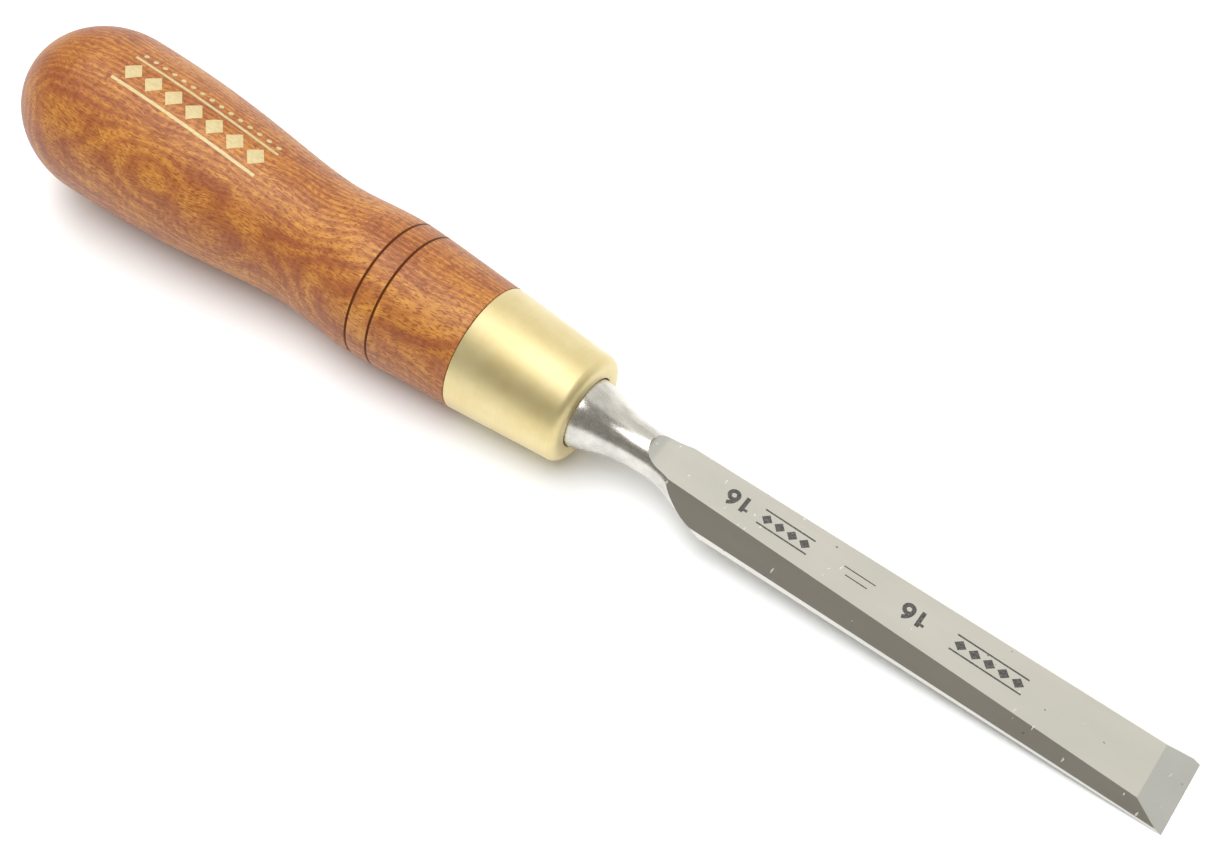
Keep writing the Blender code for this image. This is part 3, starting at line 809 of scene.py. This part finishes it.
# Slow sideways drift of the fibres, up to about 1.5 mm, which the layers, patches, fibres and pores follow.
drift = add_node(tree, "ShaderNodeTexNoise", {"Scale": 1.0, "Detail": 1.0},
                 {"Vector": tool_space(tree, (0.045, 0.07, 0.07), (0, 0, 0), HANDLE_AXIS)})
drift_centred = add_node(tree, "ShaderNodeVectorMath", {"operation": "SUBTRACT", 1: (0.5, 0.5, 0.5)},
                         {0: drift.outputs["Color"]})
drift_size = add_node(tree, "ShaderNodeVectorMath", {"operation": "MULTIPLY", 1: (0.0, 6.0, 6.0)},
                      {0: drift_centred.outputs[0]})
drifted = add_node(tree, "ShaderNodeVectorMath", {"operation": "ADD"},
                   {0: tool_space(tree, (1, 1, 1), GRAIN_TURN, HANDLE_AXIS), 1: drift_size.outputs[0]})


def stretched(scale):
    """The drifted wood coordinates, scaled along and across the grain."""
    return add_node(tree, "ShaderNodeMapping", {"Scale": scale}, {"Vector": drifted.outputs[0]}).outputs[0]


layers = add_node(tree, "ShaderNodeTexWave",
                  {"bands_direction": "Z", "Scale": 0.26, "Distortion": 3.0,
                   "Detail": 3.0, "Detail Scale": 1.2},
                  {"Vector": stretched((0.3, 1.0, 1.0))})
patches = add_node(tree, "ShaderNodeTexNoise", {"Scale": 1.0, "Detail": 5.0, "Roughness": 0.62},
                   {"Vector": stretched((0.055, 0.14, 0.14))})
figure = add_node(tree, "ShaderNodeMath", {"operation": "MULTIPLY_ADD", 1: 0.26},
                  {0: layers.outputs["Fac"], 2: patches.outputs["Fac"]})
WOOD_TONES = ((0.42, colour("95532B")), (0.60, colour("A8672D")), (0.80, colour("BC7E35")))
wood_colour = add_node(tree, "ShaderNodeValToRGB", {"stops": WOOD_TONES}, {"Fac": figure.outputs[0]})
fibres = add_node(tree, "ShaderNodeTexNoise", {"Scale": 1.0, "Detail": 4.0, "Roughness": 0.65},
                  {"Vector": stretched((0.3, 2.2, 2.2))})
fibre_tone = add_node(tree, "ShaderNodeMapRange",
                      {"From Min": 0.35, "From Max": 0.65, "To Min": 0.2, "To Max": 0.8},
                      {"Value": fibres.outputs["Fac"]})
streaked = add_node(tree, "ShaderNodeMix", {"data_type": "RGBA", "blend_type": "SOFT_LIGHT", 0: 0.45},
                    {6: wood_colour.outputs[0], 7: fibre_tone.outputs[0]})
pores = add_node(tree, "ShaderNodeTexNoise", {"Scale": 1.0, "Detail": 1.5, "Roughness": 0.5},
                 {"Vector": stretched((0.8, 4.2, 4.2))})
pore_bias = add_node(tree, "ShaderNodeMath", {"operation": "MULTIPLY_ADD", 1: -0.22},
                     {0: patches.outputs["Fac"], 2: pores.outputs["Fac"]})
pore_mask = add_node(tree, "ShaderNodeMapRange", {"From Min": 0.415, "From Max": 0.475, "To Max": 0.82},
                     {"Value": pore_bias.outputs[0]})
pored = add_node(tree, "ShaderNodeMix", {"data_type": "RGBA", 7: colour("86441F")},
                 {0: pore_mask.outputs[0], 6: streaked.outputs[2]})
ripple = add_node(tree, "ShaderNodeTexNoise", {"Scale": 1.0, "Detail": 2.0},
                  {"Vector": tool_space(tree, (1.1, 0.22, 0.22), (0, 0, 0), HANDLE_AXIS)})
ripple_tone = add_node(tree, "ShaderNodeMapRange",
                       {"From Min": 0.35, "From Max": 0.65, "To Min": 0.32, "To Max": 0.68},
                       {"Value": ripple.outputs["Fac"]})
rippled = add_node(tree, "ShaderNodeMix", {"data_type": "RGBA", "blend_type": "SOFT_LIGHT", 0: 0.4},
                   {6: pored.outputs[2], 7: ripple_tone.outputs[0]})
along = add_node(tree, "ShaderNodeSeparateXYZ", {}, {0: tool_space(tree, (1, 1, 1), (0, 0, 0), HANDLE_AXIS)})
# The end grain of the dome takes more stain, and the two grooves are coloured darker.
end_mask = add_node(tree, "ShaderNodeMapRange",
                    {"From Min": X_HANDLE_END + 23.7, "From Max": X_HANDLE_END + 0.7, "To Max": 0.5},
                    {"Value": along.outputs["X"]})
ended = add_node(tree, "ShaderNodeMix", {"data_type": "RGBA", 7: colour("85472A")},
                 {0: end_mask.outputs[0], 6: rippled.outputs[2]})
finished = ended
for groove in GROOVES:
    cut_mask = add_node(tree, "ShaderNodeMath",
                        {"operation": "COMPARE", 1: groove, 2: GROOVE_HALF_WIDTH * 0.9},
                        {0: along.outputs["X"]})
    finished = add_node(tree, "ShaderNodeMix", {"data_type": "RGBA", 7: colour("74421F")},
                        {0: cut_mask.outputs[0], 6: finished.outputs[2]})
tree.links.new(finished.outputs[2], shader.inputs["Base Color"])
gloss = add_node(tree, "ShaderNodeMapRange",
                 {"From Min": 0.4, "From Max": 0.7, "To Min": 0.42, "To Max": 0.55},
                 {"Value": pores.outputs["Fac"]})
tree.links.new(gloss.outputs[0], shader.inputs["Roughness"])
relief = add_node(tree, "ShaderNodeMath", {"operation": "MULTIPLY_ADD", 1: -1.0},
                  {0: pore_mask.outputs[0], 2: fibres.outputs["Fac"]})
pitted = add_node(tree, "ShaderNodeBump", {"Strength": 0.35, "Distance": 0.05 * MM},
                  {"Height": relief.outputs[0]})
tree.links.new(pitted.outputs[0], shader.inputs["Normal"])
handle.data.materials.append(wood)
shade(handle, 40)
laid_down(handle)
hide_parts("handle")


# Foil ornament on the handle
# A plain border of two rules, a row of lozenges and a row of dots, hot stamped in pale gold foil on
# top of the varnish. It wraps round the grip, where the wood is thickest.

X_FOIL = -222.8
FOIL_LENGTH = 37.0
FOIL_TURN = math.radians(-4.5)
FOIL_RULE_WIDTH = 0.7
Y_NEAR_RULE = -5.0
Y_FAR_RULE = 2.6
LOZENGES = 7
LOZENGE_HALF_WIDTH = 2.6
DOTS = 15
DOT_RADIUS = 0.55
Y_DOTS = 4.4
FOIL_NARROWING = 0.92
FOIL_DROP_HEIGHT = 25.0
FOIL_LIFT = 0.01
FOIL_THICKNESS = 0.02

foil = first_bar("foil_ornament", 0, Y_NEAR_RULE, FOIL_LENGTH, FOIL_RULE_WIDTH)
flat_bar(0, Y_FAR_RULE, FOIL_LENGTH, FOIL_RULE_WIDTH)
spacing = FOIL_LENGTH / LOZENGES
for i in range(LOZENGES):
    flat_lozenge((i - (LOZENGES - 1) / 2) * spacing, (Y_NEAR_RULE + Y_FAR_RULE) / 2,
                 LOZENGE_FILL * spacing, LOZENGE_HALF_WIDTH)
for i in range(DOTS):
    x = (i - (DOTS - 1) / 2) * FOIL_LENGTH / DOTS
    bpy.ops.mesh.primitive_circle_add(vertices=12, radius=DOT_RADIUS * MM, fill_type="NGON",
                                      location=(x * MM, Y_DOTS * MM, 0))
bpy.ops.mesh.select_all(action="SELECT")
bpy.ops.mesh.quads_convert_to_tris()
bpy.ops.mesh.subdivide(number_cuts=4)
bpy.ops.object.mode_set(mode="OBJECT")
only(foil)
on_the_axis = Matrix.Translation((X_FOIL * MM, 0, AXIS_HEIGHT * MM))
foil.matrix_world = (LAID_DOWN @ on_the_axis @ Matrix.Rotation(FOIL_TURN, 4, "X")
                     @ Matrix.Diagonal((1, FOIL_NARROWING, 1, 1))
                     @ Matrix.Translation((0, 0, FOIL_DROP_HEIGHT * MM)))
wrap = foil.modifiers.new("wrap", "SHRINKWRAP")
wrap.target = handle
wrap.wrap_method = "PROJECT"
wrap.use_project_z = True
wrap.use_negative_direction = True
wrap.use_positive_direction = False
wrap.offset = FOIL_LIFT * MM
bpy.ops.object.modifier_apply(modifier=wrap.name)
skin = foil.modifiers.new("skin", "SOLIDIFY")
skin.thickness = FOIL_THICKNESS * MM
skin.offset = 1.0
bpy.ops.object.modifier_apply(modifier=skin.name)
bpy.ops.object.transform_apply(location=True, rotation=True, scale=True)

# Hot stamped foil: pale gold, half matt, and a little broken, as foil over open pores is.
foil_finish, tree, shader = new_finish("hot_stamped_pale_gold_foil", {"Metallic": 0.2, "Roughness": 0.5})
breaks = add_node(tree, "ShaderNodeTexNoise", {"Scale": 1.0, "Detail": 3.0, "Roughness": 0.6},
                  {"Vector": tool_space(tree, (0.9, 2.4, 2.4))})
FOIL_TONES = ((0.3, colour("BFAA78")), (0.62, colour("CDBE90")), (0.74, colour("AE8650")))
foil_colour = add_node(tree, "ShaderNodeValToRGB", {"stops": FOIL_TONES}, {"Fac": breaks.outputs["Fac"]})
tree.links.new(foil_colour.outputs[0], shader.inputs["Base Color"])
foil.data.materials.append(foil_finish)
shade(foil, 60)
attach(foil, "root")
